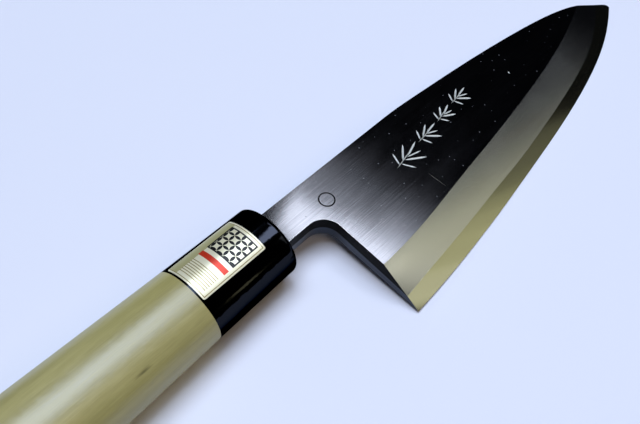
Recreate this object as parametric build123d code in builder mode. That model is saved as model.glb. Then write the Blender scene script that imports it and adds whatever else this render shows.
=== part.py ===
"""Deba knife: a thick single bevel kitchen knife with a driven wooden handle and a moulded collar.

The knife is drawn in its own plane first: X runs along the handle's axis towards the point, Y towards the
spine and Z out of the flat side, and the collar's front face lies on X = 0. Every piece is then laid down as
the knife lies on a table: on the collar's lower front rim and on the belly of the cutting edge.
"""

from build123d import *
from math import cos, pi, sin
import os

# Blade outline
edge_length = 180.0
blade_height = 57.8
spine_height = 6.6
neck_length = 19.0
neck_height = 13.5
choil_radius = 7.1
heel_lean = 1.8

# Blade section: the flat side thins along the blade and towards the edge, the back is flat
back_depth = 4.9
thickness = 9.4
length_taper = 0.033
height_taper = 0.0173
bevel_width = 17.5

# Hard steel layer under the soft iron, and the hollow ground into it
steel_thickness = 2.0
weld_slope = 0.035
weld_end = 2.0
hollow_depth = 0.45
edge_rim = 1.6
spine_rim = 3.4

# Tang, which starts as the neck's own section at the collar's face
tang_length = 86.0
tang_tip_height = 7.0
tang_tip_thickness = 4.0

# Handle, as full height and full thickness of its oval section
handle_length = 137.0
butt_height = 33.4
butt_thickness = 27.2
butt_round = 2.2
hole_gap = 0.6

# Collar
collar_length = 35.3
collar_front_height = 26.6
collar_front_thickness = 23.8
collar_rear_height = 28.1
collar_rear_thickness = 23.8
collar_wall = 1.7
collar_face_wall = 3.2
collar_rim_round = 1.6
tenon_gap = 0.1
tenon_end_gap = 0.3
mouth_gap = 0.5
mouth_sink = 0.4

# Foil sticker on the collar
sticker_length = 26.2
sticker_width = 16.3
sticker_offset = 2.0
sticker_front_gap = 8.4
sticker_corner = 0.6
sticker_thickness = 0.12
glue_gap = 0.03

# How far along the cutting edge its belly touches the table
belly_share = 0.648

# Reach of the cutting and trimming solids beyond what they cut
overrun = 20.0

# Stations along the blade from the heel to just past the point, and what hand grinding leaves at each
station_shares = [0.0, 0.08, 0.18, 0.28, 0.40, 0.55, 0.70, 0.82, 0.92, 1.04]
edge_rise_shares = [0.0, 0.009, 0.030, 0.059, 0.103, 0.163, 0.241, 0.329, 0.436, 0.628]
bevel_width_shares = [0.98, 0.97, 0.99, 1.02, 1.01, 1.01, 1.0, 0.99, 0.96, 0.94]
weld_height_shares = [1.18, 1.25, 1.14, 1.0, 0.80, 0.65, 0.52, 0.44, 0.46, 0.45]
spine_drop_shares = [0.0, 0.0, 0.0, 0.0, 0.019, 0.056, 0.107, 0.164, 0.250]
hollow_depth_shares = [0.0, 0.25, 0.8, 1.0, 1.0, 0.95, 0.8, 0.5, 0.15]

# The nose of the blade past the last of them: along the edge's length, and down from the spine
nose_shares = [(0.985, 0.356), (1.009, 0.412)]

# Quarter turn of a rounded rim, from its face to its side
quarter_turn_shares = [0.0, 0.25, 0.5, 0.75, 1.0]

heel_x = neck_length - heel_lean
heel_y = spine_height - blade_height
point_x = heel_x + nose_shares[-1][0] * edge_length
neck_bottom = spine_height - neck_height
stations = [heel_x + share * edge_length for share in station_shares]
edge_ys = [heel_y + share * blade_height for share in edge_rise_shares]
spine_ys = [spine_height - share * blade_height for share in spine_drop_shares]


def flat_over_back(x, y):
    """Thickness of the blade blank between its flat side and its back."""
    return thickness - length_taper * x - height_taper * (spine_height - y)


def collar_section(x):
    """Height and thickness of the collar's oval section at x, its front face being at 0."""
    along = -x / collar_length
    height = collar_front_height + along * (collar_rear_height - collar_front_height)
    depth = collar_front_thickness + along * (collar_rear_thickness - collar_front_thickness)
    return height, depth


def rounded_rim(radius):
    """How far each section of a rounded rim lies behind its face, and how much smaller it is all round."""
    turns = [share * pi / 2 for share in quarter_turn_shares]
    return [(radius * (1 - cos(turn)), radius * (1 - sin(turn))) for turn in turns]


# Blade blank: the outline seen on the flat side, with the flat side ground down to the point and the edge.
# The spine is straight up to the last station that has no drop
spine_points = list(zip(stations, spine_ys))[spine_drop_shares.count(0) - 1:]
spine_points += [(heel_x + along * edge_length, spine_height - down * blade_height) for along, down in nose_shares]

with BuildPart() as blade_blank:
    with BuildSketch(Plane.XY.offset(-back_depth)):
        with BuildLine():
            spine = Line((0, spine_height), spine_points[0])
            nose = Spline(*spine_points, tangents=[(1, 0), (0, -1)], tangent_scalars=[1, 0.6])
            front = Line(nose @ 1, (point_x, heel_y - overrun))
            below = Line(front @ 1, (heel_x, heel_y - overrun))
            corner = Line(below @ 1, (heel_x, heel_y))
            heel = Line(corner @ 1, (neck_length, neck_bottom - choil_radius))
            choil = RadiusArc(heel @ 1, (neck_length - choil_radius, neck_bottom), -choil_radius)
            neck = Line(choil @ 1, (0, neck_bottom))
            Line(neck @ 1, spine @ 0)
        make_face()
    extrude(amount=thickness + overrun)
    split(
        bisect_by=Plane(
            origin=(0, spine_height, thickness - back_depth),
            z_dir=(length_taper, -height_taper, 1),
        ),
        keep=Keep.BOTTOM,
    )

# What the grinding of the bevel takes off: the space over a slope that rises from the cutting edge
bevel_lines = list(zip(stations, edge_ys, bevel_width_shares))

with BuildPart() as bevel_waste:
    for x, edge_y, width_share in [(heel_x - overrun, *bevel_lines[0][1:])] + bevel_lines:
        width = bevel_width * width_share
        slope = flat_over_back(x, edge_y + width) / width
        outside = edge_y - blade_height
        inside = edge_y + 2 * width
        with BuildSketch(Plane.YZ.offset(x)):
            with BuildLine():
                Polyline(
                    (outside, -back_depth - slope * blade_height),
                    (inside, -back_depth + slope * 2 * width),
                    (outside, -back_depth + slope * 2 * width),
                    close=True,
                )
            make_face()
    loft()

# Tang: a plain taper driven into the handle
tang_centre_y = (spine_height + neck_bottom) / 2
tang_centre_z = thickness / 2 - back_depth

with BuildPart() as blade:
    add(blade_blank.part)
    add(bevel_waste.part, mode=Mode.SUBTRACT)
    with BuildSketch(Plane.YZ):
        with BuildLine():
            Polyline(
                (spine_height, -back_depth),
                (spine_height, flat_over_back(0, spine_height) - back_depth),
                (neck_bottom, flat_over_back(0, neck_bottom) - back_depth),
                (neck_bottom, -back_depth),
                close=True,
            )
        make_face()
    with BuildSketch(Plane.YZ.offset(-tang_length)):
        with Locations((tang_centre_y, tang_centre_z)):
            Rectangle(tang_tip_height, tang_tip_thickness)
    loft(ruled=True)

# Space of the hard steel, up to the weld. It reaches from the mouth of the collar to the point
weld_lines = list(zip(stations, edge_ys, weld_height_shares))

with BuildPart() as weld_space:
    for x, edge_y, share in [(-weld_end, *weld_lines[0][1:])] + weld_lines:
        at_edge = steel_thickness * share - back_depth
        outside = edge_y - overrun
        inside = spine_height + overrun
        with BuildSketch(Plane.YZ.offset(x)):
            with BuildLine():
                Polyline(
                    (outside, at_edge - weld_slope * overrun),
                    (inside, at_edge + weld_slope * (inside - edge_y)),
                    (inside, -back_depth - overrun),
                    (outside, -back_depth - overrun),
                    close=True,
                )
            make_face()
    loft()

# Hollow ground into the back, so that only a narrow rim touches the stone
with BuildPart() as back_hollow:
    for x, edge_y, spine_y, share in zip(stations, edge_ys, spine_ys, hollow_depth_shares):
        if share:
            low = (edge_y + edge_rim, -back_depth)
            high = (spine_y - spine_rim, -back_depth)
            with BuildSketch(Plane.YZ.offset(x)):
                with BuildLine():
                    chord = Line(low, high)
                    SagittaArc(low, high, hollow_depth * share)
                make_face()
    loft()

with BuildPart() as blade_cladding:
    add(blade.part)
    add(weld_space.part, mode=Mode.SUBTRACT)

with BuildPart() as edge_steel:
    add(blade.part)
    add(weld_space.part, mode=Mode.INTERSECT)
    add(back_hollow.part, mode=Mode.SUBTRACT)

# Hole for the tang, with room for the resin all round
with BuildPart() as tang_hole:
    with BuildSketch(Plane.YZ.offset(-collar_face_wall)):
        with Locations((tang_centre_y, tang_centre_z)):
            Rectangle(neck_height + 2 * hole_gap, thickness + 2 * hole_gap)
    with BuildSketch(Plane.YZ.offset(-tang_length - hole_gap)):
        with Locations((tang_centre_y, tang_centre_z)):
            Rectangle(tang_tip_height + 2 * hole_gap, tang_tip_thickness + 2 * hole_gap)
    loft(ruled=True)

# Handle: an oval that swells towards the butt, with a tenon for the collar
tenon_start = -collar_face_wall - tenon_end_gap
tenon_shrink = 2 * (collar_wall + tenon_gap)

with BuildPart() as handle:
    for behind, inset in rounded_rim(butt_round):
        with BuildSketch(Plane.YZ.offset(behind - handle_length)):
            Ellipse(butt_height / 2 - inset, butt_thickness / 2 - inset)
    with BuildSketch(Plane.YZ.offset(-collar_length)):
        Ellipse(collar_rear_height / 2, collar_rear_thickness / 2)
    loft(ruled=True)
    for x in (-collar_length, tenon_start):
        height, depth = collar_section(x)
        with BuildSketch(Plane.YZ.offset(x)):
            Ellipse((height - tenon_shrink) / 2, (depth - tenon_shrink) / 2)
    loft(ruled=True)
    add(tang_hole.part, mode=Mode.SUBTRACT)

# Collar: a moulded sleeve closed at the front but for the mouth that the neck fills
mouth_height = neck_height + 2 * mouth_gap
mouth_depth = thickness + 2 * mouth_gap

with BuildPart() as ferrule:
    for behind, inset in rounded_rim(collar_rim_round) + [(collar_length, 0)]:
        height, depth = collar_section(-behind)
        with BuildSketch(Plane.YZ.offset(-behind)):
            Ellipse(height / 2 - inset, depth / 2 - inset)
    loft(ruled=True)
    for x in (-collar_face_wall, -collar_length):
        height, depth = collar_section(x)
        with BuildSketch(Plane.YZ.offset(x)):
            Ellipse(height / 2 - collar_wall, depth / 2 - collar_wall)
    loft(ruled=True, mode=Mode.SUBTRACT)
    with BuildSketch(Plane.YZ):
        with Locations((tang_centre_y, tang_centre_z)):
            Rectangle(mouth_height, mouth_depth)
    extrude(amount=-collar_face_wall, mode=Mode.SUBTRACT)

# Resin that sets the tang: it fills the mouth a little short of the collar's face, and the hole behind it
with BuildPart() as tang_resin:
    with BuildSketch(Plane.YZ.offset(-mouth_sink)):
        with Locations((tang_centre_y, tang_centre_z)):
            Rectangle(mouth_height, mouth_depth)
    extrude(amount=mouth_sink - collar_face_wall)
    add(tang_hole.part)
    add(blade.part, mode=Mode.SUBTRACT)

# Foil sticker, wrapped on the upper side of the collar
with BuildPart() as foil_label:
    for lift, mode in ((glue_gap + sticker_thickness, Mode.ADD), (glue_gap, Mode.SUBTRACT)):
        for x in (0, -collar_length):
            height, depth = collar_section(x)
            with BuildSketch(Plane.YZ.offset(x)):
                Ellipse(height / 2 + lift, depth / 2 + lift)
        loft(ruled=True, mode=mode)
    with BuildSketch(Plane.XY):
        with Locations((-sticker_front_gap - sticker_length / 2, sticker_offset)):
            RectangleRounded(sticker_length, sticker_width, sticker_corner)
    extrude(amount=collar_rear_thickness, mode=Mode.INTERSECT)

# The table's plane, which holds the tangent of the cutting edge at the belly and touches the collar's rim
edge_line = Spline(*zip(stations, edge_ys))
touch = edge_line @ belly_share - Vector(0, 0, back_depth)
along_edge = edge_line % belly_share
rim_height, rim_depth = collar_section(-collar_rim_round)
up = Vector(0, 0, 1)
for _ in range(6):
    reach = ((rim_height * up.Y) ** 2 + (rim_depth * up.Z) ** 2) ** 0.5
    rim = Vector(-collar_rim_round, -rim_height**2 * up.Y / reach / 2, -rim_depth**2 * up.Z / reach / 2)
    up = along_edge.cross(rim - touch).normalized()
table = Plane(origin=touch, x_dir=Vector(1, 0, 0) - up * up.X, z_dir=up)

pieces = [blade_cladding, edge_steel, handle, ferrule, tang_resin, foil_label]
for piece in pieces:
    piece.part.move(table.location.inverse())
box = Compound([piece.part for piece in pieces]).bounding_box()
to_origin = Pos(-box.center().X, -box.center().Y, -box.min.Z)
for piece in pieces:
    piece.part.move(to_origin)

blade_cladding.part.label = "blade_cladding"
edge_steel.part.label = "edge_steel"
handle.part.label = "handle"
ferrule.part.label = "ferrule"
tang_resin.part.label = "tang_resin"
foil_label.part.label = "foil_label"

os.makedirs("parts", exist_ok=True)
for piece in pieces:
    export_step(piece.part, f"parts/{piece.part.label}.step")
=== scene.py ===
"""Looks of a deba knife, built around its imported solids.

The knife's own frame has its origin in the middle of the collar's front face, X along the handle's axis
towards the point, Y towards the spine and Z out of the flat side. Places on the knife and the sizes of
patterns are in millimetres in that frame, and angles are in degrees.
"""

from math import atan2, cos, pi, radians, sin, tan

import bpy
import numpy as np
from mathutils import Euler, Matrix, Vector


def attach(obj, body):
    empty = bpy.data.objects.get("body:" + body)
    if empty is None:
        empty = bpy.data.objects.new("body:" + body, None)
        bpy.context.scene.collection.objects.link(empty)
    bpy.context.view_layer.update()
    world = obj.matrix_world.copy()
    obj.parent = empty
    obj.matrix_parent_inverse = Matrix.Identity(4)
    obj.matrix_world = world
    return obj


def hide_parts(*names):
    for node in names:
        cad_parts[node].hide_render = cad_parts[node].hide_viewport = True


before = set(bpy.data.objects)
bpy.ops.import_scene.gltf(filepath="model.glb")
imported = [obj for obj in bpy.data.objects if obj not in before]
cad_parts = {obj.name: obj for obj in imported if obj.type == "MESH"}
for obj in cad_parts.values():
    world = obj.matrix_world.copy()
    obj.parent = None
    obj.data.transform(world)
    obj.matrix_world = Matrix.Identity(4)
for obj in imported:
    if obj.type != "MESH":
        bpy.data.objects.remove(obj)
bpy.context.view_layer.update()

MM = 0.001

# How the knife lies: where its origin is on the table, and how far its point and its edge lean down
KNIFE_AT = Vector((-30.716, 16.850, 11.882))
POINT_DOWN = 1.189
EDGE_DOWN = 6.224
KNIFE_TURN = Matrix.Rotation(radians(POINT_DOWN), 4, "Y") @ Matrix.Rotation(radians(EDGE_DOWN), 4, "X")
KNIFE = Matrix.Translation(KNIFE_AT * MM) @ KNIFE_TURN
INTO_KNIFE = KNIFE.inverted()

# The collar's half height and half thickness where it meets the wood
COLLAR_REAR = (14.05, 11.9)

# The flat side: its height over the origin, its fall per millimetre along the blade and down to the edge,
# the spine's place and the point's
FLAT_HEIGHT = 4.5
LENGTH_TAPER = 0.033
HEIGHT_TAPER = 0.0173
SPINE_Y = 6.6
POINT_X = 198.8

# Packed corners closer than this are one, and neighbouring triangles that bend less than this are one face
SAME_CORNER = 0.002
SAME_FACE = 0.2

# Faces that bend less than this are shaded as one surface
SMOOTH_BELOW = 36

# Edges nearer the origin than this are in the collar's mouth
IN_MOUTH = 1.0


def linear(code):
    """An sRGB hex colour as the linear values that the shaders take."""
    values = [int(code[i:i + 2], 16) / 255 for i in (1, 3, 5)]
    return tuple(v / 12.92 if v <= 0.04045 else ((v + 0.055) / 1.055) ** 2.4 for v in values) + (1.0,)


def add(tree, kind, inputs=None, stops=None, **settings):
    """A new node with its settings, its input values or links, and the stops of its ramp if it has one."""
    made = tree.nodes.new(kind)
    for name, value in settings.items():
        setattr(made, name, value)
    for name, value in (inputs or {}).items():
        if isinstance(value, bpy.types.NodeSocket):
            tree.links.new(value, made.inputs[name])
        else:
            made.inputs[name].default_value = value
    for place, colour in stops or ():
        ramp = made.color_ramp.elements
        stop = ramp[0] if place == stops[0][0] else ramp[1] if place == stops[-1][0] else ramp.new(place)
        stop.position = place
        stop.color = colour
    return made


def material(name, **surface):
    """A material whose surface has these constant values. Returns it, its tree and its surface node."""
    made = bpy.data.materials.new(name)
    made.use_nodes = True
    tree = made.node_tree
    shader = tree.nodes["Principled BSDF"]
    for socket, value in surface.items():
        shader.inputs[socket.replace("_", " ")].default_value = value
    return made, tree, shader


def on_knife(tree, stretch):
    """Places in the knife's frame for a pattern that is this large, in millimetres along X, Y and Z."""
    place, turn, _ = INTO_KNIFE.decompose()
    here = add(tree, "ShaderNodeTexCoord").outputs["Object"]
    turned = add(tree, "ShaderNodeMapping", {
        "Vector": here, "Location": place, "Rotation": turn.to_euler(),
    })
    scale = [1 / (MM * length) for length in stretch]
    return add(tree, "ShaderNodeMapping", {"Vector": turned.outputs[0], "Scale": scale}).outputs[0]


def deselect():
    bpy.ops.object.select_all(action="DESELECT")


def pick(piece):
    """Makes this piece the only one selected."""
    deselect()
    piece.select_set(True)
    bpy.context.view_layer.objects.active = piece


def merged_copy(node, name):
    """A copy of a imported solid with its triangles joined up, which then stands for it."""
    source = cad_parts[node]
    piece = bpy.data.objects.new(name, source.data.copy())
    bpy.context.scene.collection.objects.link(piece)
    piece.data.materials.clear()
    pick(piece)
    bpy.ops.object.mode_set(mode="EDIT")
    bpy.ops.mesh.select_all(action="SELECT")
    bpy.ops.mesh.remove_doubles(threshold=SAME_CORNER * MM)
    bpy.ops.mesh.customdata_custom_splitnormals_clear()
    bpy.ops.mesh.dissolve_limited(angle_limit=radians(SAME_FACE))
    bpy.ops.object.mode_set(mode="OBJECT")
    return piece


def knife_normal(normal):
    """A face's normal as seen in the knife's frame."""
    return INTO_KNIFE.to_3x3() @ normal


def round_edges(piece, wanted, width):
    """Rounds the edges for which wanted says yes, given both faces' normals and the edge's middle."""
    pick(piece)
    bpy.ops.object.mode_set(mode="EDIT")
    bpy.ops.mesh.select_mode(type="EDGE")
    bpy.ops.mesh.select_all(action="DESELECT")
    bpy.ops.object.mode_set(mode="OBJECT")
    mesh = piece.data
    beside = {}
    for face in mesh.polygons:
        for key in face.edge_keys:
            beside.setdefault(key, []).append(face)
    for edge in mesh.edges:
        faces = beside.get(edge.key, [])
        if len(faces) == 2:
            start, end = [mesh.vertices[corner].co for corner in edge.vertices]
            middle = INTO_KNIFE @ ((start + end) / 2) / MM
            edge.select = wanted(*[knife_normal(face.normal) for face in faces], middle)
    bpy.ops.object.mode_set(mode="EDIT")
    bpy.ops.mesh.bevel(offset=width * MM, segments=2, affect="EDGES", clamp_overlap=True)
    bpy.ops.object.mode_set(mode="OBJECT")


def finish_piece(piece):
    """Smooth shading that keeps flats flat and corners sharp, and the piece on the knife's one body."""
    pick(piece)
    bpy.ops.object.shade_smooth_by_angle(angle=radians(SMOOTH_BELOW))
    flats = piece.modifiers.new("flats", "WEIGHTED_NORMAL")
    flats.keep_sharp = True
    flats.weight = 100
    bpy.ops.object.modifier_apply(modifier="flats")
    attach(piece, "root")


# Metals

# A pattern this large along Z stays the same through the whole blade
THROUGH = 60

# Real grinding lines are much finer than a tenth of a millimetre, too fine to show, so each metal says how
# wide they are drawn. They are this many times as long
LINE_LENGTH = 90

# The scuffs across the lines
SCUFF = (0.5, 6.0, THROUGH)


def brushed(name, colour, roughness, line_depth, line_width, cloud, line_rise=THROUGH, scuffs=0.0):
    """Ground metal: lines along the blade, a slow change of its gloss, and scuffs of this depth across."""
    made, tree, shader = material(name, Metallic=1.0)
    line = (line_width * LINE_LENGTH, line_width, line_rise)
    lines = add(tree, "ShaderNodeTexNoise", {
        "Vector": on_knife(tree, line), "Scale": 1.0, "Detail": 3.0, "Roughness": 0.65,
    })
    clouds = add(tree, "ShaderNodeTexNoise", {
        "Vector": on_knife(tree, cloud), "Scale": 1.0, "Detail": 4.0, "Roughness": 0.6,
    })
    both = add(tree, "ShaderNodeMath", {0: lines.outputs["Fac"], 1: clouds.outputs["Fac"]}, operation="ADD")
    gloss = add(tree, "ShaderNodeMapRange", {
        "Value": both.outputs[0], "From Min": 0.6, "From Max": 1.4,
        "To Min": roughness[0], "To Max": roughness[1],
    })
    shade = add(tree, "ShaderNodeMix", {
        "Factor": lines.outputs["Fac"], "A": linear(colour[0]), "B": linear(colour[1]),
    }, data_type="RGBA")
    bump = add(tree, "ShaderNodeBump", {
        "Height": lines.outputs["Fac"], "Strength": 1.0, "Distance": line_depth * MM,
    })
    if scuffs:
        crossing = add(tree, "ShaderNodeTexNoise", {
            "Vector": on_knife(tree, SCUFF), "Scale": 1.0, "Detail": 4.0, "Roughness": 0.75,
        })
        bump = add(tree, "ShaderNodeBump", {
            "Height": crossing.outputs["Fac"], "Strength": 1.0, "Distance": scuffs * MM,
            "Normal": bump.outputs[0],
        })
    tree.links.new(shade.outputs["Result"], shader.inputs["Base Color"])
    tree.links.new(gloss.outputs[0], shader.inputs["Roughness"])
    tree.links.new(bump.outputs[0], shader.inputs["Normal"])
    return made


# Soft iron polished on stones: a dark, nearly clear mirror with hairlines along the blade
flat_iron = brushed(
    "soft_iron_polished", ("#55565A", "#919193"), roughness=(0.05, 0.12),
    line_depth=0.0024, line_width=0.35, cloud=(30, 9, THROUGH), scuffs=0.0022)

# Soft iron from the grindstone: a pale silk that spreads its reflections
bevel_iron = brushed(
    "soft_iron_ground", ("#C8C8C0", "#DADAD2"), roughness=(0.19, 0.26),
    line_depth=0.0015, line_width=0.35, cloud=(25, 12, THROUGH))

# Hard steel honed at the edge: a clearer mirror than the ground iron, and a warmer one
edge_band = brushed(
    "hard_steel_honed", ("#BEBC9C", "#CAC8AA"), roughness=(0.09, 0.14),
    line_depth=0.0008, line_width=0.30, cloud=(30, 10, THROUGH))

# Soft iron filed along the spine: grey and dull
spine_iron = brushed(
    "soft_iron_spine", ("#8E9094", "#A6A8AA"), roughness=(0.24, 0.36),
    line_depth=0.0020, line_width=0.40, cloud=(20, 6, 6), line_rise=0.4)

# Hard steel at the sides of the neck and the heel: dark and blue, painted shade standing in for the shaded
# blue-white table that these sides mirror
side_steel = brushed(
    "hard_steel_side", ("#262B33", "#3E444E"), roughness=(0.12, 0.20),
    line_depth=0.0015, line_width=0.40, cloud=(12, 6, 6), line_rise=0.4)

# Hard steel in the hollow ground back: an even grey sheen
back_steel = brushed(
    "hard_steel_hollow", ("#8A8C8C", "#A4A6A6"), roughness=(0.22, 0.34),
    line_depth=0.0020, line_width=0.50, cloud=(20, 10, 10))

# Small nicks from use, scattered over the flat side. They are rougher than the polish and so catch light.
# Each cell of this spacing holds one if its chance is over the least, with at most this share of it as radius
NICK_SPACING = 4.5
NICK_LEAST_CHANCE = 0.55
NICK_RADIUS = 0.045
NICK_ROUGHER = 0.45
flat_tree = flat_iron.node_tree
flat_gloss = flat_tree.nodes["Principled BSDF"].inputs["Roughness"]
nicks = add(flat_tree, "ShaderNodeTexVoronoi", {
    "Vector": on_knife(flat_tree, (NICK_SPACING, NICK_SPACING, THROUGH)), "Scale": 1.0, "Randomness": 1.0,
}, voronoi_dimensions="2D")
nick_chance = add(flat_tree, "ShaderNodeSeparateXYZ", {0: nicks.outputs["Color"]})
nick_radius = add(flat_tree, "ShaderNodeMapRange", {
    "Value": nick_chance.outputs[0], "From Min": NICK_LEAST_CHANCE, "From Max": 1.0,
    "To Min": 0.0, "To Max": NICK_RADIUS,
})
nicked = add(flat_tree, "ShaderNodeMath", {
    0: nicks.outputs["Distance"], 1: nick_radius.outputs[0],
}, operation="LESS_THAN")
nicked_gloss = add(flat_tree, "ShaderNodeMath", {
    0: nicked.outputs[0], 1: NICK_ROUGHER, 2: flat_gloss.links[0].from_socket,
}, operation="MULTIPLY_ADD")
flat_tree.links.new(nicked_gloss.outputs[0], flat_gloss)

# The bevel is ground finer towards the point, over this stretch of X
FINER_FROM, FINER_TO = 150.0, 182.0
bevel_tree = bevel_iron.node_tree
bevel_gloss = bevel_tree.nodes["Principled BSDF"].inputs["Roughness"]
along_bevel = add(bevel_tree, "ShaderNodeSeparateXYZ", {0: on_knife(bevel_tree, (1, 1, 1))})
finer = add(bevel_tree, "ShaderNodeMapRange", {
    "Value": along_bevel.outputs[0], "From Min": FINER_FROM, "From Max": FINER_TO,
    "To Min": 1.0, "To Max": 0.45,
})
fine_gloss = add(bevel_tree, "ShaderNodeMath", {
    0: bevel_gloss.links[0].from_socket, 1: finer.outputs[0],
}, operation="MULTIPLY")
bevel_tree.links.new(fine_gloss.outputs[0], bevel_gloss)

# Painted shade: a dull black on the choil and the heel that stands in for the shaded table under the neck,
# which they mirror. It is mottled in small patches
SHADE_MOTTLE = 1.2
painted_shade_black, painted_shade_tree, painted_shade_shader = material("steel_painted_shade", Specular_IOR_Level=0.04, IOR=1.5)
shade_mottle = add(painted_shade_tree, "ShaderNodeTexNoise", {
    "Vector": on_knife(painted_shade_tree, (SHADE_MOTTLE, SHADE_MOTTLE, SHADE_MOTTLE)), "Scale": 1.0, "Detail": 4.0, "Roughness": 0.65,
})
painted_shade_colour = add(painted_shade_tree, "ShaderNodeMix", {
    "Factor": shade_mottle.outputs["Fac"], "A": linear("#020203"), "B": linear("#0A0A0D"),
}, data_type="RGBA")
painted_shade_gloss = add(painted_shade_tree, "ShaderNodeMapRange", {
    "Value": shade_mottle.outputs["Fac"], "From Min": 0.3, "From Max": 0.7, "To Min": 0.32, "To Max": 0.55,
})
painted_shade_bump = add(painted_shade_tree, "ShaderNodeBump", {
    "Height": shade_mottle.outputs["Fac"], "Strength": 1.0, "Distance": 0.02 * MM,
})
painted_shade_tree.links.new(painted_shade_colour.outputs["Result"], painted_shade_shader.inputs["Base Color"])
painted_shade_tree.links.new(painted_shade_gloss.outputs[0], painted_shade_shader.inputs["Roughness"])
painted_shade_tree.links.new(painted_shade_bump.outputs[0], painted_shade_shader.inputs["Normal"])

# Chisel cuts: torn bright iron that catches light from every side
GRIT = 0.5
cut_iron, cut_tree, cut_shader = material("soft_iron_chiselled", Metallic=1.0, Roughness=0.55)
grit = add(cut_tree, "ShaderNodeTexNoise", {
    "Vector": on_knife(cut_tree, (GRIT, GRIT, GRIT)), "Scale": 1.0, "Detail": 2.0,
})
cut_shade = add(cut_tree, "ShaderNodeMix", {
    "Factor": grit.outputs["Fac"], "A": linear("#B4B4AC"), "B": linear("#DADAD2"),
}, data_type="RGBA")
cut_tree.links.new(cut_shade.outputs["Result"], cut_shader.inputs["Base Color"])

# Moulded plastic, polished black: a deep mirror with a slight ripple. It is a dark metal here, with a black
# tint where it is seen at a slant, because plastic's own gloss would show the table in its lower side
BLACK = (0.0, 0.0, 0.0, 1.0)
RIPPLE = (14, 6, 6)
collar_black, collar_tree, collar_shader = material(
    "moulded_plastic_black", Base_Color=linear("#212328"), Metallic=1.0, Roughness=0.07,
    Specular_Tint=BLACK)
ripple = add(collar_tree, "ShaderNodeTexNoise", {
    "Vector": on_knife(collar_tree, RIPPLE), "Scale": 1.0, "Detail": 1.0,
})
collar_bump = add(collar_tree, "ShaderNodeBump", {
    "Height": ripple.outputs["Fac"], "Strength": 1.0, "Distance": 0.03 * MM,
})
collar_tree.links.new(collar_bump.outputs[0], collar_shader.inputs["Normal"])

# Magnolia: pale olive with a soft straight grain, sanded and unvarnished, so it has a low satin sheen. Its
# pores are too fine to show, so they are drawn as wide as the second of these sizes
GRAIN = (190, 6.0, 6.0)
PORE = (9, 0.35, 0.35)
wood, wood_tree, wood_shader = material("magnolia_sanded", IOR=1.5, Specular_IOR_Level=0.9)
rings = add(wood_tree, "ShaderNodeTexNoise", {
    "Vector": on_knife(wood_tree, GRAIN), "Scale": 1.0, "Detail": 2.0, "Roughness": 0.5, "Distortion": 0.2,
})
wood_colour = add(wood_tree, "ShaderNodeValToRGB", {"Fac": rings.outputs["Fac"]}, stops=[
    (0.30, linear("#948A4A")), (0.44, linear("#9F9553")),
    (0.58, linear("#A99F60")), (0.72, linear("#B2A86D")),
])
pores = add(wood_tree, "ShaderNodeTexNoise", {
    "Vector": on_knife(wood_tree, PORE), "Scale": 1.0, "Detail": 3.0, "Roughness": 0.6,
})
pore_shade = add(wood_tree, "ShaderNodeMapRange", {
    "Value": pores.outputs["Fac"], "From Min": 0.35, "From Max": 0.65, "To Min": 0.90, "To Max": 1.04,
})
wood_gloss = add(wood_tree, "ShaderNodeMapRange", {
    "Value": pores.outputs["Fac"], "From Min": 0.3, "From Max": 0.7, "To Min": 0.31, "To Max": 0.41,
})
wood_bump = add(wood_tree, "ShaderNodeBump", {
    "Height": pores.outputs["Fac"], "Strength": 0.6, "Distance": 0.02 * MM,
})

# One dark mineral fleck in the wood, drawn out along the grain, with an edge that the pores fray
FLECK_AT = (-61.2, -10.05, 9.05)
FLECK = (2.6, 0.6, 0.6)
FLECK_FRAY = 1.6
fleck_way = add(wood_tree, "ShaderNodeVectorMath", {
    0: on_knife(wood_tree, FLECK), 1: [place / size for place, size in zip(FLECK_AT, FLECK)],
}, operation="DISTANCE")
fleck_frayed = add(wood_tree, "ShaderNodeMath", {
    0: pores.outputs["Fac"], 1: FLECK_FRAY, 2: fleck_way.outputs["Value"],
}, operation="MULTIPLY_ADD")
fleck_shade = add(wood_tree, "ShaderNodeMapRange", {
    "Value": fleck_frayed.outputs[0], "From Min": 0.9, "From Max": 2.1, "To Min": 0.50, "To Max": 1.0,
})
wood_shade = add(wood_tree, "ShaderNodeMath", {
    0: pore_shade.outputs[0], 1: fleck_shade.outputs[0],
}, operation="MULTIPLY")
wood_mix = add(wood_tree, "ShaderNodeVectorMath", {
    0: wood_colour.outputs["Color"], "Scale": wood_shade.outputs[0],
}, operation="SCALE")
wood_tree.links.new(wood_mix.outputs[0], wood_shader.inputs["Base Color"])
wood_tree.links.new(wood_gloss.outputs[0], wood_shader.inputs["Roughness"])
wood_tree.links.new(wood_bump.outputs[0], wood_shader.inputs["Normal"])

# Setting resin: poured, dull and nearly black, with a little dust in it
DUST = 1.5
resin, resin_tree, resin_shader = material("setting_resin", IOR=1.5, Roughness=0.55)
dust = add(resin_tree, "ShaderNodeTexNoise", {
    "Vector": on_knife(resin_tree, (DUST, DUST, DUST)), "Scale": 1.0,
})
resin_shade = add(resin_tree, "ShaderNodeMix", {
    "Factor": dust.outputs["Fac"], "A": linear("#141110"), "B": linear("#2A2420"),
}, data_type="RGBA")
resin_tree.links.new(resin_shade.outputs["Result"], resin_shader.inputs["Base Color"])

# Printed foil: matt inks on bright metal, so it gleams a little through them. The print is laid out in
# millimetres from its rear lower corner
LABEL = (26.2, 16.5)
WRINKLE = (5, 4, 4)
CREAM = linear("#F2EBC8")
GOLD = linear("#9C8A4C")
KHAKI = linear("#BDB680")
INK = linear("#15120E")
VERMILION = linear("#D23A22")
foil, foil_tree, foil_shader = material("printed_foil", Metallic=0.35, Roughness=0.30, IOR=1.5)
label_way = add(foil_tree, "ShaderNodeUVMap", uv_map="label")
print_place = add(foil_tree, "ShaderNodeMapping", {
    "Vector": label_way.outputs[0], "Scale": (*LABEL, 0.0),
}).outputs[0]


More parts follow.
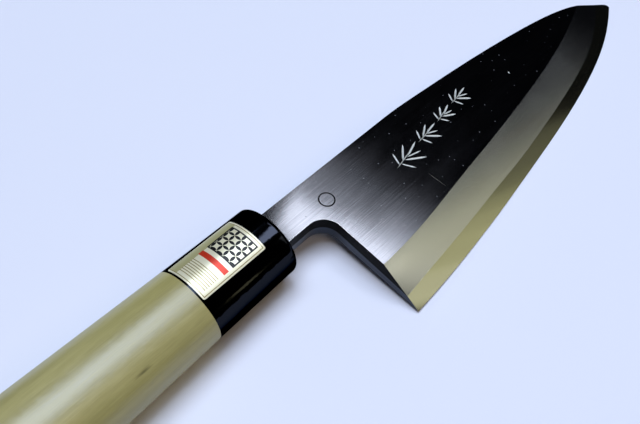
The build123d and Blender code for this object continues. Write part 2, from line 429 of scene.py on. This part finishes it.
def off_panel(centre, half):
    """How far a place on the print lies outside the panel of this centre and these half sides."""
    across = add(foil_tree, "ShaderNodeVectorMath", {
        0: print_place, 1: (*centre, 0.0),
    }, operation="SUBTRACT")
    folded = add(foil_tree, "ShaderNodeVectorMath", {0: across.outputs[0]}, operation="ABSOLUTE")
    beyond = add(foil_tree, "ShaderNodeVectorMath", {
        0: folded.outputs[0], 1: (*half, 0.0),
    }, operation="SUBTRACT")
    sides = add(foil_tree, "ShaderNodeSeparateXYZ", {0: beyond.outputs[0]})
    farthest = add(foil_tree, "ShaderNodeMath", {
        0: sides.outputs[0], 1: sides.outputs[1],
    }, operation="MAXIMUM")
    return farthest.outputs[0]


def repeats(pitch):
    """Places in each cell of a pattern that repeats at this pitch, folded about the cell's middle."""
    cells = add(foil_tree, "ShaderNodeVectorMath", {0: print_place, "Scale": 1 / pitch}, operation="SCALE")
    within = add(foil_tree, "ShaderNodeVectorMath", {0: cells.outputs[0]}, operation="FRACTION")
    centred = add(foil_tree, "ShaderNodeVectorMath", {
        0: within.outputs[0], 1: (0.5, 0.5, 0.0),
    }, operation="SUBTRACT")
    return add(foil_tree, "ShaderNodeVectorMath", {0: centred.outputs[0]}, operation="ABSOLUTE").outputs[0]


def inked(panel, pattern=None, reach=0.0):
    """Where a panel is inked: all of it, or only where its pattern stays under this reach."""
    inside = add(foil_tree, "ShaderNodeMath", {0: panel, 1: 0.0}, operation="LESS_THAN")
    if pattern is None:
        return inside.outputs[0]
    drawn = add(foil_tree, "ShaderNodeMath", {0: pattern, 1: reach}, operation="LESS_THAN")
    both = add(foil_tree, "ShaderNodeMath", {
        0: inside.outputs[0], 1: drawn.outputs[0],
    }, operation="MULTIPLY")
    return both.outputs[0]


def outline(panel, width):
    """The line of this width along a panel's edge."""
    off_edge = add(foil_tree, "ShaderNodeMath", {0: panel}, operation="ABSOLUTE")
    line = add(foil_tree, "ShaderNodeMath", {0: off_edge.outputs[0], 1: width / 2}, operation="LESS_THAN")
    return line.outputs[0]


# Linked rings, an old pattern: the petals where neighbouring circles overlap are inked. Its numbers are the
# cells' pitch, the corners from which a folded cell's two circles are drawn, and their radius in cells
RING_PITCH = 2.6
RING_CORNERS = ((-0.5, 0.5, 0.0), (0.5, -0.5, 0.0))
RING_RADIUS = 0.69
ring_cell = repeats(RING_PITCH)
ring_ways = [
    add(foil_tree, "ShaderNodeVectorMath", {0: ring_cell, 1: corner}, operation="DISTANCE").outputs["Value"]
    for corner in RING_CORNERS
]
petals = add(foil_tree, "ShaderNodeMath", {
    0: ring_ways[0], 1: ring_ways[1],
}, operation="MINIMUM").outputs[0]

# Stripes across the print, by their pitch and their half width in cells
STRIPE_PITCH = 0.9
STRIPE_HALF = 0.16
stripes = add(foil_tree, "ShaderNodeSeparateXYZ", {0: repeats(STRIPE_PITCH)}).outputs[0]

top_strip = off_panel(centre=(13.1, 14.0), half=(12.3, 1.75))
stripe_panel = off_panel(centre=(5.0, 7.2), half=(3.1, 5.2))
bar = off_panel(centre=(10.9, 7.2), half=(1.0, 5.4))
ring_panel = off_panel(centre=(19.0, 7.2), half=(5.2, 5.2))
border = off_panel(centre=(13.1, 8.25), half=(12.4, 7.55))

# The inks, each over the ones before it
label_colour = CREAM
for printed, colour in (
    (inked(top_strip), KHAKI),
    (inked(stripe_panel, stripes, STRIPE_HALF), GOLD),
    (inked(bar), VERMILION),
    (inked(ring_panel, petals, RING_RADIUS), INK),
    (outline(ring_panel, width=0.5), INK),
    (outline(border, width=0.25), GOLD),
):
    layer = add(foil_tree, "ShaderNodeMix", {
        "Factor": printed, "A": label_colour, "B": colour,
    }, data_type="RGBA")
    label_colour = layer.outputs["Result"]
wrinkles = add(foil_tree, "ShaderNodeTexNoise", {
    "Vector": on_knife(foil_tree, WRINKLE), "Scale": 1.0, "Detail": 2.0,
})
foil_bump = add(foil_tree, "ShaderNodeBump", {
    "Height": wrinkles.outputs["Fac"], "Strength": 1.0, "Distance": 0.02 * MM,
})
foil_tree.links.new(label_colour, foil_shader.inputs["Base Color"])
foil_tree.links.new(foil_bump.outputs[0], foil_shader.inputs["Normal"])


# Blade

# The kinds of face, each known by the place of its material in a piece's list. A side is the neck's, the
# choil's or the heel's
FLAT, BEVEL, SPINE, SIDE, BACK = range(5)

# How far the arrises of the two layers are rounded
IRON_ROUND = 0.25
STEEL_ROUND = 0.12


def blade_face(normal):
    """Which kind of face this is, by its normal."""
    level, sloping, downward, spineward = 0.985, 0.5, -0.6, 0.3
    if normal.z > level:
        return FLAT
    if normal.z > sloping:
        return BEVEL
    if normal.z < downward:
        return BACK
    return SPINE if max(normal.x, normal.y) > spineward else SIDE


def paint(piece, materials):
    """Gives each face of a blade piece the material of its kind."""
    for one in materials:
        piece.data.materials.append(one)
    for face in piece.data.polygons:
        face.material_index = blade_face(knife_normal(face.normal))


def iron_arris(one, other, middle):
    """An arris of the soft iron that shows: all but those of the back."""
    bend, downward = radians(20), -0.7
    return one.angle(other, 0.0) >= bend and middle.x >= IN_MOUTH and min(one.z, other.z) > downward


def steel_arris(one, other, middle):
    """An arris of the hard layer that shows, but for the cutting edge and the weld."""
    bend, sloping = radians(30), 0.5
    return one.angle(other, 0.0) >= bend and middle.x >= IN_MOUTH and max(one.z, other.z) < sloping


def even_bevel(piece):
    """Evens out the shading of the gently twisted bevel, whose packed triangles are long and thin.

    The bevel's slopes are fitted with a curve of the fifth degree along the blade and a twist across it.
    """
    mesh = piece.data
    faces = [face for face in mesh.polygons if face.material_index == BEVEL]
    middles = np.array([INTO_KNIFE @ face.center / MM for face in faces]) / POINT_X
    normals = np.array([knife_normal(face.normal) for face in faces])
    weights = np.sqrt([face.area for face in faces])[:, None]
    slopes = normals[:, :2] / normals[:, 2:]

    def basis(places):
        x, y = places[:, 0], places[:, 1]
        return np.stack([x ** power for power in range(6)] + [y, x * y], axis=1)

    fitted = np.linalg.lstsq(basis(middles) * weights, slopes * weights, rcond=None)[0]
    corners = np.array([corner.vector for corner in mesh.corner_normals])
    for face in faces:
        loops = list(face.loop_indices)
        places = np.array([INTO_KNIFE @ mesh.vertices[mesh.loops[i].vertex_index].co / MM for i in loops])
        for i, slope in zip(loops, basis(places / POINT_X) @ fitted):
            corners[i] = KNIFE.to_3x3() @ Vector((*slope, 1.0)).normalized()
    mesh.normals_split_custom_set([tuple(corner) for corner in corners])


# The bamboo spray: the foot of each tuft as X and Y, its size and its turn
TUFTS = ((52.5, -12.0, 1.25, 6), (68.0, -9.6, 1.0, -4), (81.5, -8.2, 0.86, 9), (93.0, -6.2, 0.92, -2))

# A tuft's stem: how far it leans, its rise per millimetre, its length and its width
STEM_LEAN = 8
STEM_RISE = 0.14
STEM_LENGTH = 9.5
STEM_WIDTH = 0.42

# A tuft's leaves: where each starts along the stem, how far it leans, its length and its width
LEAVES = (
    (1.5, 62, 4.6, 0.8), (3.2, 34, 6.4, 0.95), (4.0, -38, 7.0, 1.0),
    (2.2, -66, 4.4, 0.75), (6.0, 12, 6.2, 0.9), (5.4, -20, 5.2, 0.7),
)

# Marks from use, as X, Y, turn, length and width
KNOCK = (125.0, -12.4, 78, 1.3, 0.45)
SCRATCH = (59.2, -20.6, -88, 8.5, 0.14)

# The plain ring near the neck: its middle, its radius and the half width of its groove
RING_AT = (23.6, -4.0)
RING_SIZE = 2.8
RING_GROOVE = 0.26

# How deep the strokes go
CUT_DEPTH = 0.2


def on_flat(x, y, turn):
    """A frame in the flat side's surface at x, y, whose X is turned by this angle from along the blade."""
    height = FLAT_HEIGHT - LENGTH_TAPER * x - HEIGHT_TAPER * (SPINE_Y - y)
    lean = Vector((LENGTH_TAPER, -HEIGHT_TAPER, 1.0)).to_track_quat("Z", "Y").to_matrix().to_4x4()
    straight = Matrix.Rotation(-Vector(lean.col[0][:2]).angle_signed(Vector((1.0, 0.0))), 4, "Z")
    turned = Matrix.Rotation(radians(turn), 4, "Z")
    return KNIFE @ Matrix.Translation(Vector((x, y, height)) * MM) @ lean @ straight @ turned


def lay(place, surface):
    """Lays the new cutter down at this place and gives it the material that its cut will have."""
    cutter = bpy.context.object
    cutter.matrix_world = place
    bpy.ops.object.transform_apply(location=True, rotation=True, scale=True)
    cutter.data.materials.append(surface)
    return cutter


def stroke(x, y, turn, length, width):
    """A pointed stroke of the chisel from x, y, widest in its middle."""
    middle = x + cos(radians(turn)) * length / 2, y + sin(radians(turn)) * length / 2
    deselect()
    bpy.ops.mesh.primitive_uv_sphere_add(segments=8, ring_count=3, radius=1.0, rotation=(0.0, pi / 2, 0.0))
    bpy.ops.object.transform_apply(rotation=True)
    shape = Matrix.Diagonal((length / 2 * MM, width / 2 * MM, CUT_DEPTH * MM, 1.0))
    return lay(on_flat(*middle, turn) @ shape, cut_iron)


def ring():
    """The cutter of the plain ring, whose groove takes the dull black of painted shade."""
    deselect()
    bpy.ops.mesh.primitive_torus_add(
        major_segments=36, minor_segments=8, major_radius=RING_SIZE * MM, minor_radius=RING_GROOVE * MM)
    return lay(on_flat(*RING_AT, 0), painted_shade_black)


def cutters():
    """All that is cut into the flat side: the bamboo spray, two marks from use and the ring."""
    cuts = []
    for x, y, size, turn in TUFTS:
        cuts.append(stroke(x, y, STEM_LEAN + turn / 2, STEM_LENGTH * size, STEM_WIDTH))
        for start, lean, length, width in LEAVES:
            foot = x + start * size, y + STEM_RISE * start * size
            cuts.append(stroke(*foot, lean + turn, length * size, width))
    return cuts + [stroke(*KNOCK), stroke(*SCRATCH), ring()]


def chisel(piece, cuts):
    """Takes the cutters out of a piece, which leaves their material on the walls of the cuts."""
    deselect()
    for cut in cuts:
        cut.select_set(True)
    bpy.context.view_layer.objects.active = cuts[0]
    bpy.ops.object.join()
    tools = bpy.context.object
    pick(piece)
    taken = piece.modifiers.new("chiselled", "BOOLEAN")
    taken.operation = "DIFFERENCE"
    taken.solver = "EXACT"
    taken.use_self = True
    taken.material_mode = "TRANSFER"
    taken.object = tools
    bpy.ops.object.modifier_apply(modifier="chiselled")
    bpy.data.objects.remove(tools)


cladding = merged_copy("blade_cladding", "cladding_dressed")
round_edges(cladding, iron_arris, IRON_ROUND)
# The choil, the heel and the back of the iron take the dull black of painted shade
paint(cladding, [flat_iron, bevel_iron, spine_iron, painted_shade_black, painted_shade_black])
chisel(cladding, cutters())
finish_piece(cladding)
even_bevel(cladding)
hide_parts("blade_cladding")

edge = merged_copy("edge_steel", "edge_dressed")
round_edges(edge, steel_arris, STEEL_ROUND)
# The sides of the hard layer take its steel darkened as painted shade
paint(edge, [edge_band, edge_band, side_steel, side_steel, back_steel])
finish_piece(edge)
even_bevel(edge)
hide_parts("edge_steel")

# Handle
handle = merged_copy("handle", "handle_dressed")
handle.data.materials.append(wood)
finish_piece(handle)
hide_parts("handle")

# Collar
collar = merged_copy("ferrule", "collar_dressed")
collar.data.materials.append(collar_black)
finish_piece(collar)
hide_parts("ferrule")

# Resin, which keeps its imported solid
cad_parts["tang_resin"].data.materials.clear()
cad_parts["tang_resin"].data.materials.append(resin)


def lay_print(piece):
    """Maps the print once over the foil, along the knife and round the collar."""
    wrap = piece.data.uv_layers.new(name="label")
    corners = [INTO_KNIFE @ piece.data.vertices[loop.vertex_index].co / MM for loop in piece.data.loops]
    along = [place.x for place in corners]
    around = [atan2(place.y / COLLAR_REAR[0], place.z / COLLAR_REAR[1]) for place in corners]
    rear, low = min(along), min(around)
    length, girth = max(along) - rear, max(around) - low
    for loop, x, turn in zip(wrap.data, along, around):
        loop.uv = ((x - rear) / length, (turn - low) / girth)


# Foil
label = merged_copy("foil_label", "foil_dressed")
label.data.materials.append(foil)
lay_print(label)
finish_piece(label)
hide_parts("foil_label")

# Table: matt white with a faint blue, and as many metres wide as this
TABLE_WIDTH = 6.0
deselect()
bpy.ops.mesh.primitive_plane_add(size=TABLE_WIDTH, location=(0, 0, 0))
table = bpy.context.object
table.name = "table"
table_top, _, _ = material("table_matt_white", Base_Color=linear("#E9EAF2"), Roughness=0.6)
table.data.materials.append(table_top)

# Camera, placed and turned in the knife's frame
CAMERA_AT = Vector((-109.3, -92.19, 222.92))
CAMERA_TURN = Euler([radians(angle) for angle in (34.657, -5.617, -47.829)])
camera = bpy.data.objects.new("camera", bpy.data.cameras.new("camera"))
bpy.context.scene.collection.objects.link(camera)
camera.matrix_world = KNIFE @ Matrix.LocRotScale(CAMERA_AT * MM, CAMERA_TURN, None)
camera.data.lens = 45.0
camera.data.sensor_width = 36.0
camera.data.clip_start = 0.01
bpy.context.scene.camera = camera

# Light: soft boxes round the knife at this distance, in metres
BOX_DISTANCE = 3.0


def panel(name, azimuths, elevations, glow, colour):
    """A soft box that spans these angles as seen from the knife, and glows evenly."""
    azimuth, elevation = radians(sum(azimuths) / 2), radians(sum(elevations) / 2)
    towards = Vector((cos(elevation) * cos(azimuth), cos(elevation) * sin(azimuth), sin(elevation)))
    lamp = bpy.data.lights.new(name, "AREA")
    lamp.shape = "RECTANGLE"
    lamp.size = 2 * BOX_DISTANCE * tan(radians(azimuths[1] - azimuths[0]) / 2) * cos(elevation)
    lamp.size_y = 2 * BOX_DISTANCE * tan(radians(elevations[1] - elevations[0]) / 2)
    lamp.energy = glow * pi * lamp.size * lamp.size_y
    lamp.color = linear(colour)[:3]
    box = bpy.data.objects.new(name, lamp)
    bpy.context.scene.collection.objects.link(box)
    facing = towards.to_track_quat("Z", "Y").to_matrix().to_4x4()
    box.matrix_world = Matrix.Translation(towards * BOX_DISTANCE) @ facing


panel("overhead", azimuths=(10, 140), elevations=(64, 98), glow=7.7, colour="#D6E5FF")
panel("fill", azimuths=(-125, -85), elevations=(40, 66), glow=1.9, colour="#FFE2BE")
panel("front_box", azimuths=(-36, 3), elevations=(55, 66), glow=8.5, colour="#E0EAFF")
panel("warm_strip", azimuths=(-68.5, -66), elevations=(15, 21), glow=2.2, colour="#FFF0B0")

# The front box's spill on its frame, which fades downwards in steps between these elevations. Each stretch
# of azimuths has a glow for each step
SPILL_EDGES = (58, 54.6, 53.7, 52.7, 51.7, 50.7, 49.7)
for azimuths, glows in (
    ((3, 13), (6.0, 2.9, 2.0, 1.0, 0.5, 0.16)),
    ((13, 18.5), (6.0, 2.4, 0.85, 0.65, 0.32, 0.12)),
    ((18.5, 25.8), (6.0, 1.3, 1.0, 0.8, 0.42, 0.16)),
):
    for high, low, glow in zip(SPILL_EDGES, SPILL_EDGES[1:], glows):
        panel("front_spill", azimuths, (low, high), glow, "#EAF0FF")

# The wall at the window side, which fades towards the point: azimuths, elevations, glow and colour
for azimuths, elevations, glow, colour in (
    ((-53, -50), (20, 39), 0.86, "#F0F0E4"),
    ((-50, -44), (20, 45), 0.84, "#F0F0E4"),
    ((-44, -37), (20, 45), 0.70, "#E8E8CE"),
    ((-37, -33), (20, 45), 0.62, "#E6E6CC"),
    ((-33, -29.5), (20, 45), 0.47, "#E6E6CC"),
    ((-29.5, -26), (20, 45), 0.25, "#E6E6D0"),
    ((-26, -22.5), (20, 45), 0.19, "#E6E6D4"),
    ((-22.5, -19), (20, 45), 0.16, "#E6E6D4"),
    ((-19, -17.5), (20, 45), 0.06, "#E6E6D8"),
):
    panel("wall_spill", azimuths, elevations, glow, colour)
panel("wall_top", azimuths=(-50, -40), elevations=(39, 45), glow=0.7, colour="#F0F0E4")
panel("wall_end", azimuths=(-17, -12), elevations=(38, 45), glow=0.45, colour="#E6E6DC")

# The rest of the room is nearly black, so that only the boxes light the knife
world = bpy.data.worlds.new("studio")
bpy.context.scene.world = world
world.use_nodes = True
background = world.node_tree.nodes["Background"]
background.inputs["Color"].default_value = linear("#0A0B0F")
background.inputs["Strength"].default_value = 1.0
bpy.context.scene.view_settings.view_transform = "Standard"
